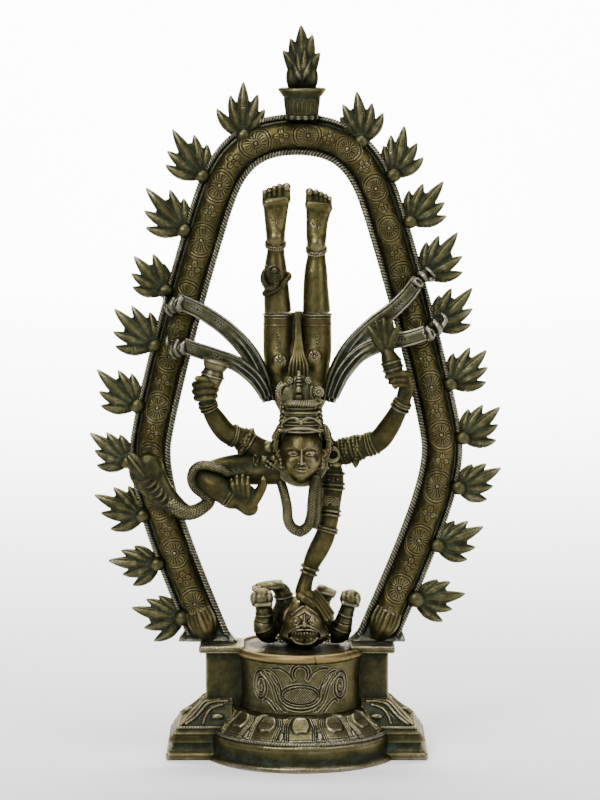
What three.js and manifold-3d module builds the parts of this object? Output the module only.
// A cast brass dancing figure in a one-handed handstand on a crouching demon, inside a flaming arch on a
// lotus base. Millimetres, +Z up, the front towards -Y, the origin at the middle of the underside.
// The statue is rigid: every piece is a casting that is soldered or seated on its neighbours.

import * as THREE from 'three';
import { mergeVertices } from 'three/addons/utils/BufferGeometryUtils.js';
import Module from 'manifold-3d';

const wasm = await Module();
wasm.setup();

// ---- driving dimensions ----

const GAP = 0.3; // the solder line left between neighbouring castings
const MERGE = 1e-4; // vertices closer than this are one vertex
const SHORTEST_EDGE = 0.06; // a cut's shorter edges are closed up

// base: a round hollow stack with two square wings; the stack was cast a little to the right of them
const STACK_X = 2.2;
const PLINTH = { radius: 59, flange: 3, flangeTop: 3, wallTop: 13, bead: 1.2, top: 17.5, wall: 4 };
const LOTUS = { bottomRadius: 58, topRadius: 38.5, bottom: 17.8, top: 31.5, wall: 4 };
const DRUM = { radius: 37, waist: 36, bottom: 31.8, top: 63, wall: 4 };
const PLATE = { radius: 42, bottom: 63.3, top: 69 };
const ROUND_STEPS = 32;
const WING = { out: 77.5, depth: 22, flange: 4, flangeTop: 8, top: 19.5, beadTop: 22.2, wall: 5, in: 30 };
const SLOPE = { outBottom: 74, outTop: 57, depthTop: 11, top: 36.6 };
const PEDESTAL = { in: 36, out: 57, depth: 10, bottom: 22.5, top: 65.8 };
const CAP = { in: 33, out: 61, front: 18, back: 12, bottom: 65.8, top: 70.6 };

// arch: its middle line on each side, as cubic spans in X and Z from the crown down to the foot
const SHOULDER = [[0, 387], [27, 387], [41, 375], [50, 350]];
const ARCH_SPANS = {
  left: [SHOULDER, [[50, 350], [60, 322], [86, 228], [90.5, 198]], [[90.5, 198], [94.5, 171], [79, 132], [49.5, 60]]],
  right: [SHOULDER, [[50, 350], [60, 322], [86, 228], [90, 198]], [[90, 198], [93, 172], [74.5, 130], [44.5, 60]]],
};
const BAND = { half: 12.5, thick: 4, foot: CAP.top + GAP, steps: 34 };
const MOULDING = { half: 8.3, depth: 8, foot: 92, steps: 30 };
const FOOT_LEAF = { half: 8.5, depth: 10, bottom: 71.5 };

// crown piece of the arch
const CUP = { x: 3.1, y: -2.5, bottom: 396, neck: 401, lip: 411, top: 416, radius: 11.2, lipRadius: 14.8 };
const FINIAL = { length: 36.5, boss: 5, y: -2.5, thick: 6, narrow: 0.72 };

// flames: distance down the arch from its crown, outward offset of the root, the main leaf's angle
// above the horizontal and its length, one row per flame
const FLAMES = {
  left: [
    [30, 7.5, 91, 33.5], [60, 12, 59, 33.5], [94, 12, 50, 34], [133, 13, 50, 29], [167, 10.5, 41, 34.5],
    [206, 12.5, 44, 32.5], [238, 14, 37, 29], [270, 11.5, 25, 33], [301, 13, 3, 30], [338, 11, 8, 33],
  ],
  right: [
    [36, 8.7, 95, 32], [60, 13.5, 75, 31], [89, 13.8, 53, 31.5], [123, 13.5, 50, 33], [155, 11.3, 46, 32],
    [192, 12, 45, 32], [225, 13.3, 41, 30.5], [252, 13.6, 24, 28.5], [289, 12.5, 20, 30], [325, 13, 5, 31],
  ],
};
const FLAME = { thick: 5, y: 1, boss: 4.2, lowBoss: 5.2 };
const LEAF_ANGLES = [-46, -22, 0, 19, 36]; // degrees from the main leaf, lowest leaf first
const LEAF_LENGTHS = [0.68, 0.76, 1, 0.8, 0.6]; // against the main leaf
const VALLEYS = [0.5, 0.6, 0.6, 0.5]; // how far the cuts between the leaves stay from the root

const BRASS = { body: 0x6b5f33, dark: 0x4b4529, worn: 0x8a7636 };

// ---- solids ----

const point = (x, y, z) => new THREE.Vector3(x, y, z);
const radians = (degrees) => (degrees * Math.PI) / 180;

// signed volume of an indexed mesh, negative where its faces point in
function signedVolume(position, index) {
  const [a, b, c] = [new THREE.Vector3(), new THREE.Vector3(), new THREE.Vector3()];
  let sum = 0;
  for (let i = 0; i < index.length; i += 3) {
    a.fromBufferAttribute(position, index[i]);
    b.fromBufferAttribute(position, index[i + 1]);
    c.fromBufferAttribute(position, index[i + 2]);
    sum += a.dot(b.cross(c)) / 6;
  }
  return sum;
}

// a three.js geometry as a solid whose faces point out
function solid(geometry) {
  geometry.deleteAttribute('normal');
  geometry.deleteAttribute('uv');
  const merged = mergeVertices(geometry, MERGE);
  const triangles = [];
  const source = merged.index.array;
  for (let i = 0; i < source.length; i += 3) {
    const [a, b, c] = [source[i], source[i + 1], source[i + 2]];
    if (a !== b && b !== c && c !== a) triangles.push([a, b, c]);
  }
  const inward = signedVolume(merged.attributes.position, triangles.flat()) < 0;
  const triVerts = new Uint32Array(triangles.map((t) => (inward ? [t[0], t[2], t[1]] : t)).flat());
  const vertProperties = new Float32Array(merged.attributes.position.array);
  return new wasm.Manifold(new wasm.Mesh({ numProp: 3, vertProperties, triVerts }));
}

const join = (...solids) => solids.reduce((sum, next) => sum.add(next));

// a closed skin over rings of equally many points, with a fan on each end
function loft(rings) {
  const count = rings[0].length;
  const points = rings.flat();
  const middle = (ring) => ring.reduce((sum, p) => sum.add(p), point(0, 0, 0)).divideScalar(count);
  points.push(middle(rings[0]), middle(rings.at(-1)));
  const [start, end] = [points.length - 2, points.length - 1];
  const index = [];
  for (let j = 0; j < count; j++) {
    const next = (j + 1) % count;
    for (let i = 0; i < rings.length - 1; i++) {
      const [a, b] = [i * count + j, i * count + next];
      index.push(a, b, b + count, a, b + count, a + count);
    }
    const last = (rings.length - 1) * count;
    index.push(start, next, j, end, last + j, last + next);
  }
  const geometry = new THREE.BufferGeometry().setFromPoints(points);
  geometry.setIndex(index);
  return solid(geometry);
}

// a level ellipse of points
function ellipse(x, y, z, radiusX, radiusY, sides) {
  return Array.from({ length: sides }, (_, i) => {
    const angle = ((i + 0.5) * 2 * Math.PI) / sides;
    return point(x + radiusX * Math.cos(angle), y + radiusY * Math.sin(angle), z);
  });
}

// a body built of level ellipses, rows of [z, x, y, half width, half depth]
function stack(rows, swell = 0, sides = 10) {
  return loft(rows.map(([z, x, y, width, depth], i) => {
    const lift = i === 0 ? -swell : i === rows.length - 1 ? swell : 0;
    return ellipse(x, y, z + lift, width + swell, depth + swell, sides);
  }));
}

// a limb or a snake: round sections along rows of [x, y, z, radius], with blunt rounded ends
function limb(rows, swell = 0, sides = 8) {
  const centres = rows.map(([x, y, z]) => point(x, y, z));
  const radii = rows.map((row) => row[3] + swell);
  const last = rows.length - 1;
  const along = (i) => centres[Math.min(i + 1, last)].clone().sub(centres[Math.max(i - 1, 0)]).normalize();
  const rings = [];
  let side = new THREE.Vector3();
  const ring = (centre, direction, radius) => {
    const across = direction.clone().cross(side).normalize();
    return Array.from({ length: sides }, (_, i) => {
      const angle = (i * 2 * Math.PI) / sides;
      return centre.clone()
        .addScaledVector(side, radius * Math.cos(angle))
        .addScaledVector(across, radius * Math.sin(angle));
    });
  };
  for (let i = 0; i <= last; i++) {
    const direction = along(i);
    if (i === 0) side = Math.abs(direction.y) < 0.9 ? point(0, 1, 0) : point(1, 0, 0);
    side.addScaledVector(direction, -side.dot(direction)).normalize();
    const tip = radii[i] * 0.6;
    if (i === 0) rings.push(ring(centres[0].clone().addScaledVector(direction, -tip), direction, tip));
    rings.push(ring(centres[i], direction, radii[i]));
    if (i === last) rings.push(ring(centres[i].clone().addScaledVector(direction, tip), direction, tip));
  }
  return loft(rings);
}

// a flat strap along rows of [x, y, z], its width turned across the path in the XZ plane
function ribbon(rows, width, thick, swell = 0) {
  const half = width / 2 + swell;
  const deep = thick / 2 + swell;
  return loft(rows.map(([x, y, z], i) => {
    const before = rows[Math.max(i - 1, 0)];
    const after = rows[Math.min(i + 1, rows.length - 1)];
    const across = point(after[2] - before[2], 0, before[0] - after[0]).normalize();
    const corner = (w, d) => point(x, y, z).addScaledVector(across, w).add(point(0, d, 0));
    return [corner(-half, -deep), corner(half, -deep), corner(half, deep), corner(-half, deep)];
  }));
}

function ellipsoid(x, y, z, radiusX, radiusY, radiusZ, swell = 0, sides = 10, levels = 7) {
  const geometry = new THREE.SphereGeometry(1, sides, levels);
  geometry.rotateX(Math.PI / 2);
  geometry.scale(radiusX + swell, radiusY + swell, radiusZ + swell);
  geometry.translate(x, y, z);
  return solid(geometry);
}

function block(x0, x1, y0, y1, z0, z1) {
  const geometry = new THREE.BoxGeometry(x1 - x0, y1 - y0, z1 - z0);
  geometry.translate((x0 + x1) / 2, (y0 + y1) / 2, (z0 + z1) / 2);
  return solid(geometry);
}

// a ring or disc turned about the upright axis of the round stack from a closed profile of [radius, z]
function turned(profile, steps = ROUND_STEPS) {
  const outline = [...profile, profile[0]].map(([radius, z]) => new THREE.Vector2(radius, z));
  const geometry = new THREE.LatheGeometry(outline, steps);
  geometry.rotateX(Math.PI / 2);
  geometry.translate(STACK_X, 0, 0);
  return solid(geometry);
}

// ---- the assembly: every piece is cut back by the pieces that are already in place ----

const statue = new THREE.Group();
const placed = [];

function boxesMeet(a, b) {
  return [0, 1, 2].every((axis) => a.min[axis] < b.max[axis] && b.min[axis] < a.max[axis]);
}

function largest(body) {
  return body.decompose().reduce((best, next) => (next.volume() > best.volume() ? next : best));
}

// a cut body as a geometry, with the ends of every very short edge drawn together
function tidyGeometry(body) {
  const { vertProperties, triVerts } = body.getMesh();
  const positions = new THREE.BufferAttribute(vertProperties, 3);
  const at = (i) => new THREE.Vector3().fromBufferAttribute(positions, i);
  const target = Array.from({ length: positions.count }, (_, i) => i);
  const root = (i) => (target[i] === i ? i : root(target[i]));
  for (let i = 0; i < triVerts.length; i++) {
    const [a, b] = [triVerts[i], triVerts[i % 3 === 2 ? i - 2 : i + 1]];
    if (at(a).distanceTo(at(b)) < SHORTEST_EDGE) target[Math.max(root(a), root(b))] = Math.min(root(a), root(b));
  }
  const geometry = new THREE.BufferGeometry();
  geometry.setAttribute('position', positions);
  geometry.setIndex(Array.from(triVerts, root));
  const { vertProperties: vertices, triVerts: triangles } = solid(geometry).getMesh();
  geometry.setAttribute('position', new THREE.BufferAttribute(vertices, 3));
  geometry.setIndex(new THREE.BufferAttribute(triangles, 1));
  return geometry;
}

function add(name, colour, make) {
  const own = make(0);
  const box = own.boundingBox();
  const neighbours = placed.filter((other) => boxesMeet(box, other.box));
  const body = largest(neighbours.reduce((rest, other) => rest.subtract(other.grown), own));
  const grown = make(GAP);
  placed.push({ grown, box: grown.boundingBox() });

  const geometry = tidyGeometry(body);
  const material = new THREE.MeshStandardMaterial({ color: colour, roughness: 0.45, metalness: 1 });
  const mesh = new THREE.Mesh(geometry, material);
  mesh.name = name;
  statue.add(mesh);
}

// the same piece on both sides; make gets the side, -1 for left and 1 for right
function addPair(stem, colour, make) {
  add(`${stem}_left`, colour, (swell) => make(-1, swell));
  add(`${stem}_right`, colour, (swell) => make(1, swell));
}

// ---- base ----

function plinth(swell) {
  const { radius, flange, flangeTop, wallTop, bead, top, wall } = PLINTH;
  const inner = radius - wall - swell;
  return turned([
    [inner, 0], [radius + flange + swell, 0], [radius + flange + swell, flangeTop + swell],
    [radius + swell, flangeTop + swell], [radius + swell, wallTop], [radius + bead + swell, wallTop + 1],
    [radius + bead + swell, top - 1], [radius + swell, top + swell], [inner, top + swell],
  ]);
}

function lotusTier(swell) {
  const { bottomRadius, topRadius, bottom, top, wall } = LOTUS;
  const belly = (bottomRadius + topRadius) / 2 + 4;
  const half = (bottom + top) / 2;
  return turned([
    [bottomRadius - wall - swell, bottom - swell], [bottomRadius + swell, bottom - swell],
    [belly + swell, half + swell], [topRadius + swell, top + swell],
    [topRadius - wall - swell, top + swell], [belly - wall - swell, half - wall],
  ]);
}

function drum(swell) {
  const { radius, waist, bottom, top, wall } = DRUM;
  const half = (bottom + top) / 2;
  return turned([
    [radius - wall - swell, bottom - swell], [radius + swell, bottom - swell], [waist + swell, half],
    [radius + swell, top + swell], [radius - wall - swell, top + swell], [waist - wall - swell, half],
  ]);
}

function plate(swell) {
  const { radius, bottom, top } = PLATE;
  const lip = 1.5;
  return turned([
    [0, bottom - swell], [radius - lip + swell, bottom - swell], [radius + swell, bottom + lip],
    [radius + swell, top - lip], [radius - lip + swell, top + swell], [0, top + swell],
  ]);
}

// the whole round stack as one filled body, a solder gap larger all round
function roundCore() {
  const outline = [
    [PLINTH.radius + PLINTH.flange, -1], [PLINTH.radius + PLINTH.flange, PLINTH.flangeTop],
    [PLINTH.radius + PLINTH.bead, PLINTH.flangeTop], [PLINTH.radius + PLINTH.bead, PLINTH.top],
    [LOTUS.bottomRadius, PLINTH.top + GAP], [(LOTUS.bottomRadius + LOTUS.topRadius) / 2 + 4,
      (LOTUS.bottom + LOTUS.top) / 2 + GAP], [PLATE.radius, LOTUS.top], [PLATE.radius, PLATE.top],
  ].map(([radius, z]) => [radius + GAP, z + (z < 0 ? 0 : GAP)]);
  return turned([[0, -1], ...outline, [0, PLATE.top + GAP]]);
}

// a hollow square wing with a sloping lotus top, open underneath
function wing(side, swell) {
  const { out, depth, flange, flangeTop, top, beadTop, wall, in: near } = WING;
  const span = (x0, x1) => (side > 0 ? [x0, x1] : [-x1, -x0]);
  const slab = (x0, x1, y, z0, z1) => block(...span(x0, x1), -y, y, z0, z1);
  const skirt = slab(near, out + flange + swell, depth + flange + swell, 0, flangeTop + swell);
  const walls = slab(near, out + swell, depth + swell, flangeTop - 1, top);
  const bead = slab(near, out + 1 + swell, depth + 1 + swell, top - 1, beadTop + swell);
  const corners = (x, y, z) => [point(near * side, -y, z), point(x * side, -y, z), point(x * side, y, z),
    point(near * side, y, z)];
  const slope = loft([
    corners(SLOPE.outBottom + swell, depth + swell, beadTop - 1),
    corners(SLOPE.outTop + swell, SLOPE.depthTop + swell, SLOPE.top + swell),
  ]);
  const hollow = slab(near - 1, out - wall, depth - wall, -1, top);
  return join(skirt, walls, bead, slope).subtract(hollow).subtract(roundCore());
}

function pedestal(side, swell) {
  const span = (x0, x1) => (side > 0 ? [x0, x1] : [-x1, -x0]);
  const { in: near, out, depth, bottom, top } = PEDESTAL;
  const shaft = block(...span(near - swell, out + swell), -depth - swell, depth + swell, bottom, top + 0.5);
  const cap = block(...span(CAP.in - swell, CAP.out + swell), -CAP.front - swell, CAP.back + swell,
    CAP.bottom - swell, CAP.top + swell);
  return shaft.add(cap).subtract(roundCore());
}

add('base_plinth', BRASS.body, plinth);
add('lotus_tier', BRASS.worn, lotusTier);
add('base_drum', BRASS.body, drum);
add('top_plate', BRASS.body, plate);
addPair('wing', BRASS.body, wing);
addPair('pedestal', BRASS.body, pedestal);

// ---- arch ----

function archLine(spans) {
  const line = new THREE.CurvePath();
  for (const span of spans) {
    line.add(new THREE.CubicBezierCurve(...span.map(([x, z]) => new THREE.Vector2(x, z))));
  }
  return line;
}

const ARCH_LINES = { left: archLine(ARCH_SPANS.left), right: archLine(ARCH_SPANS.right) };
const lineOf = (side) => (side < 0 ? ARCH_LINES.left : ARCH_LINES.right);
const lengthOf = (side) => lineOf(side).getLength();

// a place on the arch: distance down from its crown, outward offset, depth and side
function archPoint(distance, offset, y, side) {
  const share = distance / lengthOf(side);
  const at = lineOf(side).getPointAt(share);
  const tangent = lineOf(side).getTangentAt(share);
  return point(side * (at.x - tangent.y * offset), y, at.y + tangent.x * offset);
}

// sweeps a section of [offset, y] down one half of the arch
function archSweep(section, from, to, steps, side) {
  return loft(Array.from({ length: steps + 1 }, (_, i) => {
    const distance = from + ((to - from) * i) / steps;
    return section.map(([offset, y]) => archPoint(distance, offset, y, side));
  }));
}

const below = (z) => block(-200, 200, -100, 100, -100, z);
const above = (z, side) => block(...(side > 0 ? [1, 200] : [-200, -1]), -100, 100, z, 500);

function archBand(side, swell) {
  const [half, back, front] = [BAND.half + swell, BAND.thick + swell, -swell];
  const section = [[-half, front], [half, front], [half, back], [-half, back]];
  const band = archSweep(section, GAP / 2 - swell / 2, lengthOf(side), BAND.steps, side);
  return band.subtract(below(BAND.foot - swell));
}

// the half-round moulding on the front of the band
function archMoulding(side, swell) {
  const front = -GAP;
  const section = Array.from({ length: 7 }, (_, i) => {
    const angle = (i * Math.PI) / 6;
    return [(MOULDING.half + swell) * Math.cos(angle), front - (MOULDING.depth + swell) * Math.sin(angle)];
  });
  const moulding = archSweep(section, GAP / 2 - swell / 2, lengthOf(side), MOULDING.steps, side);
  return moulding.subtract(below(MOULDING.foot - swell));
}

// the ribbed leaf that the moulding stands on
function footLeaf(side, swell) {
  const { half, depth, bottom } = FOOT_LEAF;
  const section = Array.from({ length: 7 }, (_, i) => {
    const angle = (i * Math.PI) / 6;
    return [(half + swell) * Math.cos(angle), -GAP - (depth + swell) * Math.sin(angle)];
  });
  const leaf = archSweep(section, lengthOf(side) - 45, lengthOf(side), 4, side);
  return leaf.subtract(below(bottom - swell)).subtract(above(MOULDING.foot - GAP + swell, side));
}

addPair('arch_band', BRASS.dark, archBand);
addPair('arch_moulding', BRASS.worn, archMoulding);
addPair('arch_foot_leaf', BRASS.worn, footLeaf);

// ---- flames ----

// five pointed leaves from one root, as a flat plate with its root at the origin of X and Y
function leafFan(length, thick) {
  const at = (radius, degrees) => {
    return new THREE.Vector2(radius * Math.cos(radians(degrees)), radius * Math.sin(radians(degrees)));
  };
  const outline = [at(length * 0.3, LEAF_ANGLES[0] - 16)];
  LEAF_ANGLES.forEach((angle, i) => {
    outline.push(at(length * LEAF_LENGTHS[i], angle));
    const next = LEAF_ANGLES[i + 1];
    if (next !== undefined) outline.push(at(length * VALLEYS[i], (angle + next) / 2));
  });
  outline.push(at(length * 0.3, LEAF_ANGLES.at(-1) + 16), at(1, 180));
  return new THREE.ExtrudeGeometry(new THREE.Shape(outline), { depth: thick, bevelEnabled: false });
}

// a fan standing in the plane of the arch, its main leaf at an angle above the horizontal
function standingFan(root, degrees, side, length, thick, swell) {
  const geometry = leafFan(length, thick + 2 * swell);
  geometry.translate(0, 0, -thick / 2 - swell);
  geometry.rotateZ(radians(degrees));
  geometry.rotateX(Math.PI / 2);
  geometry.scale(side, 1, 1);
  geometry.translate(root.x, root.y, root.z);
  return solid(geometry);
}

function flame([distance, offset, degrees, length], boss, side, swell) {
  const root = archPoint(distance, offset, FLAME.y, side);
  const fan = standingFan(root, degrees, side, length, FLAME.thick, swell);
  return fan.add(ellipsoid(root.x, root.y - 1, root.z, boss, boss, boss, swell, 8, 5));
}

for (const [label, side] of [['left', -1], ['right', 1]]) {
  FLAMES[label].forEach((row, i) => {
    const boss = i < FLAMES[label].length - 1 ? FLAME.boss : FLAME.lowBoss;
    add(`flame_${label}_${i + 1}`, BRASS.worn, (swell) => flame(row, boss, side, swell));
  });
}

function finialCup(swell) {
  const { x, y, bottom, neck, lip, top, radius, lipRadius } = CUP;
  return stack([
    [bottom, x, y, radius - 2, 8], [neck, x, y, radius, 9], [lip, x, y, lipRadius - 1, 10.5],
    [lip + 1, x, y, lipRadius, 11.5], [top, x, y, lipRadius, 11.5],
  ], swell, 12);
}

function finialFlame(swell) {
  const root = point(CUP.x, FINIAL.y, CUP.top + GAP);
  const right = standingFan(root, 90, FINIAL.narrow, FINIAL.length, FINIAL.thick, swell);
  const left = standingFan(root, 90, -FINIAL.narrow, FINIAL.length, FINIAL.thick, swell);
  const boss = ellipsoid(root.x, root.y, root.z + 2, FINIAL.boss + 3, FINIAL.boss, FINIAL.boss, swell, 8, 5);
  return join(right, left, boss);
}

add('finial_cup', BRASS.worn, finialCup);
add('finial_flame', BRASS.worn, finialFlame);

// ---- demon ----

function demonBody(swell) {
  return join(
    ellipsoid(3, 15, 83, 21, 14, 15, swell),
    limb([[-9, 16, 86, 6.5], [-9.5, 15, 98, 5.2], [-12, 12, 105.5, 5], [-24.8, 6, 106, 4.2]], swell),
    limb([[14, 18, 86, 6], [17, 16, 97, 5], [20, 12, 103.5, 4.2], [24, 8, 103.5, 3.8]], swell),
  );
}

function demonHead(swell) {
  return stack([
    [69.3, 3, -8, 12, 9], [73, 3, -9, 15, 12], [82, 3, -8, 15.5, 14], [90, 3, -5, 14.5, 13],
    [96, 3, -2, 10.5, 10], [99.5, 3, 0, 4, 5],
  ], swell);
}

function demonArm(side, swell) {
  const [x, reach] = side < 0 ? [-20, -22.5] : [27, 33];
  return join(
    limb([[x - side * 4, 6, 76, 6.2], [x, 0, 78, 6.8], [(x + reach) / 2, -3, 91, 6]], swell),
    ellipsoid(reach, -4, 99.5, 7.6, 7.2, 7, swell),
  );
}

add('demon_head', BRASS.worn, demonHead);
add('demon_body', BRASS.dark, demonBody);
addPair('demon_arm', BRASS.dark, demonArm);

// ---- dancer: upside down on one hand, the back to the front, the head bent up before the hips ----

function torso(swell) {
  return stack([
    [170, 2, -3, 9, 6], [177, 2, -2, 20, 9.5], [188, 2.5, 0, 24, 10.5], [198, 2, 0, 22, 10.5],
    [207, 2, 0, 17.5, 9.5], [216, 2, 0, 15.5, 9], [222.5, 1.5, 0, 17.5, 10],
  ], swell, 12);
}

function shorts(swell) {
  const thigh = (x) => limb([[x, -1, 246, 11], [x, -1, 262, 10.4], [x, -1, 276.4, 9.8]], swell)
    .subtract(block(x - 20, x + 20, -30, 30, 277 + swell, 320));
  const seat = stack([
    [222.8, 1.5, 0, 18.5, 10.5], [231, 1.2, -1, 22, 12.5], [243, 1.2, -1.5, 23.5, 13.5],
    [252, 1.2, -1, 22, 12.5], [258, 1.2, -1, 18, 9],
  ], swell, 12);
  return join(seat, thigh(-10), thigh(12.2));
}

// a straight leg with the sole of the foot turned to the front and the toes up
function leg(x, lean, swell) {
  return stack([
    [277.4, x, -1, 9.3, 9.3], [290.8, x + lean, -1.2, 8.2, 8.6], [304, x + lean, -1.2, 6.8, 7],
    [316, x + 2 * lean, -1.5, 5, 5.2], [324, x + 2 * lean, -3.5, 5.6, 6.6],
    [333, x + 2 * lean, -3.2, 6.8, 5.4], [346, x + 2 * lean, -2.8, 8.2, 4],
    [351, x + 2 * lean, -2.6, 7.6, 3.2], [356, x + 2 * lean, -2.4, 6, 2.4],
  ], swell);
}

function head(swell) {
  return join(
    ellipsoid(1.9, -24, 192.8, 13, 13.5, 18, swell, 12, 9),
    limb([[1.9, -8, 178, 8], [1.9, -17, 183, 8]], swell),
    ellipsoid(-12.5, -19, 192, 5, 7, 14, swell, 8, 6),
    ellipsoid(16.3, -19, 195, 5, 7, 12, swell, 8, 6),
  );
}

function crown(swell) {
  return stack([
    [204, 1.9, -24, 13.4, 13.9], [212, 1.9, -24, 12.6, 13], [215, 1.9, -24, 10.8, 11.4],
    [222, 1.9, -24, 11.4, 11.6], [224, 1.9, -24, 15.5, 7], [232, 1.9, -23, 15, 5.5],
    [237, 1.9, -23, 9, 4.5], [241.5, 1.9, -23, 3, 3],
  ], swell, 12);
}

function drumArm(swell) {
  return join(
    limb([[-14, -2, 187, 7.4], [-22, -4, 190.5, 7.2], [-33, -7, 196, 7], [-42.8, -11, 199.6, 6.6],
      [-50, -15, 208.6, 6.3], [-57, -18, 218, 5.8]], swell),
    ellipsoid(-57.5, -20, 228, 8.6, 8, 8.6, swell),
  );
}

function handDrum(swell) {
  return limb([[-56.5, -20, 235, 7.2], [-54.5, -20.5, 240, 5.4], [-52, -21, 246, 7.4]], swell, 10);
}

function flameArm(swell) {
  return join(
    limb([[18, -2, 187, 7.4], [26, -4, 190.5, 7.2], [37.2, -7, 193.4, 7.2], [47, -10, 196.4, 6.6],
      [54.6, -12, 199.5, 6.4], [59, -14, 208, 6.2], [63.5, -17, 220, 5.6], [66.5, -19, 230, 5.4],
      [65.5, -20, 238, 4.6]], swell),
    limb([[64, -21, 238, 3.6], [53.5, -22, 239, 2.6]], swell, 6),
  );
}

function handFlame(swell) {
  return stack([
    [239.5, 61.5, -20.5, 4.2, 4], [243, 60.5, -20, 4.8, 4.4], [247, 58, -20, 6.6, 5.6], [251, 57, -20, 6, 5], [253, 55.5, -20, 6, 3],
    [260, 53.8, -19.5, 7.4, 3], [267, 53, -19, 5, 2.4], [273, 52.5, -19, 0.8, 0.8],
  ], swell);
}

function gestureArm(swell) {
  return join(
    limb([[-14, -4, 181.5, 7.2], [-20, -5, 182, 7], [-32, -7, 182, 6.5], [-46, -10, 180, 6.2],
      [-55, -14, 176.5, 6.2], [-52, -19, 171.5, 6.4], [-40.3, -22, 164.9, 6]], swell),
    ellipsoid(-32.5, -23.5, 160.5, 8.4, 5, 8, swell),
    limb([[-29, -25, 160, 4.4], [-24.5, -25, 166, 3.4], [-21.2, -25, 173, 2.4]], swell, 6),
  );
}

function supportArm(swell) {
  return limb([[19, -3, 183, 8], [21.5, -4, 174, 7.6], [20.5, -5, 160.6, 7.1], [16.1, -6, 140.1, 6.7],
    [9.3, -6, 123.4, 5.5], [6.4, -6, 112.2, 5], [3.2, -6, 104.5, 5.6], [7.5, -6.5, 98, 4.8],
    [15, -7.5, 93, 3.6], [21.5, -8.5, 88.5, 2.6]], swell);
}

add('torso', BRASS.dark, torso);
add('shorts', BRASS.worn, shorts);
add('leg_left', BRASS.worn, (swell) => leg(-10.2, -1.4, swell));
add('leg_right', BRASS.worn, (swell) => leg(12, -0.7, swell));
add('head', BRASS.worn, head);
add('crown', BRASS.dark, crown);
add('arm_drum', BRASS.worn, drumArm);
add('hand_drum', BRASS.worn, handDrum);
add('arm_flame', BRASS.worn, flameArm);
add('hand_flame', BRASS.worn, handFlame);
add('arm_gesture', BRASS.worn, gestureArm);
add('arm_support', BRASS.worn, supportArm);

// ---- snakes ----

function archCobra(swell) {
  return join(
    limb([[-33, -15, 185, 3.4], [-46, -17.5, 188, 3.7], [-58, -17, 185.6, 3.7], [-66.3, -16, 178, 3.7],
      [-63.5, -20, 168.5, 3.7], [-57, -24, 161.5, 3.7], [-61.5, -21, 155.2, 3.7], [-71, -17, 152.8, 3.7],
      [-82, -15, 160.6, 3.7], [-88.5, -14, 168, 3.7]], swell),
    ellipsoid(-91.1, -13, 176, 8.7, 3.4, 10, swell),
    ellipsoid(-97.5, -14, 186, 5, 4.2, 5, swell, 8, 6),
  );
}

function neckSnake(swell) {
  return limb([[-9.9, -12, 173, 3.1], [-6.8, -13, 157.5, 3.1], [-5.6, -13, 146.9, 3.1], [1.9, -13, 140.1, 3.1],
    [9, -15, 145.7, 3.1], [10.8, -16, 157.5, 3.1], [12.2, -16, 172, 3.1]], swell);
}

// one turn and a bit round the left calf, rising at the back, with the hood in front
function legSnake(swell) {
  const [x, y, reach, turns, steps] = [-11.6, -1.2, 11, 1.15, 16];
  const coil = Array.from({ length: steps + 1 }, (_, i) => {
    const angle = -Math.PI * 0.75 + (i / steps) * turns * 2 * Math.PI;
    return [x + reach * Math.cos(angle), y + reach * Math.sin(angle), 292 + (7.5 * i) / steps, 2.1];
  });
  return limb([...coil, [-11.5, -13.4, 305, 3], [-13.6, -13, 309, 1.8]], swell, 6);
}

add('arch_cobra', BRASS.body, archCobra);
add('neck_snake', BRASS.dark, neckSnake);
add('leg_snake', BRASS.worn, legSnake);

// ---- scarves: stiff cast ribbons from the hips to the front of the arch ----

const SCARF = { width: 10.5, thick: 3.2 };
const SCARVES = {
  scarf_upper_left: [[-17, -8, 217], [-20.5, -8, 238], [-29, -9, 254.8], [-41.5, -10, 269], [-57, -10.5, 280.5],
    [-68, -10.6, 284], [-77, -10.6, 284.5]],
  scarf_lower_left: [[-19.5, -11.5, 221.5], [-26.7, -11.6, 236.2], [-37.8, -11, 246], [-52.7, -10.8, 253.6],
    [-66, -10.6, 257], [-77.5, -10.6, 254]],
  scarf_upper_right: [[20, -8, 220], [24.5, -8, 240], [32.9, -9, 256], [46.5, -10, 270.3], [60.8, -10.5, 282],
    [70.1, -10.6, 290], [76, -10.6, 296]],
  scarf_lower_right: [[23.5, -11.5, 223], [29.8, -11.6, 241], [39.1, -11, 252.3], [54.6, -10.8, 257.9],
    [70.1, -10.6, 260], [82, -10.6, 267]],
};
for (const [name, rows] of Object.entries(SCARVES)) {
  add(name, BRASS.body, (swell) => ribbon(rows, SCARF.width, SCARF.thick, swell));
}

export default statue;
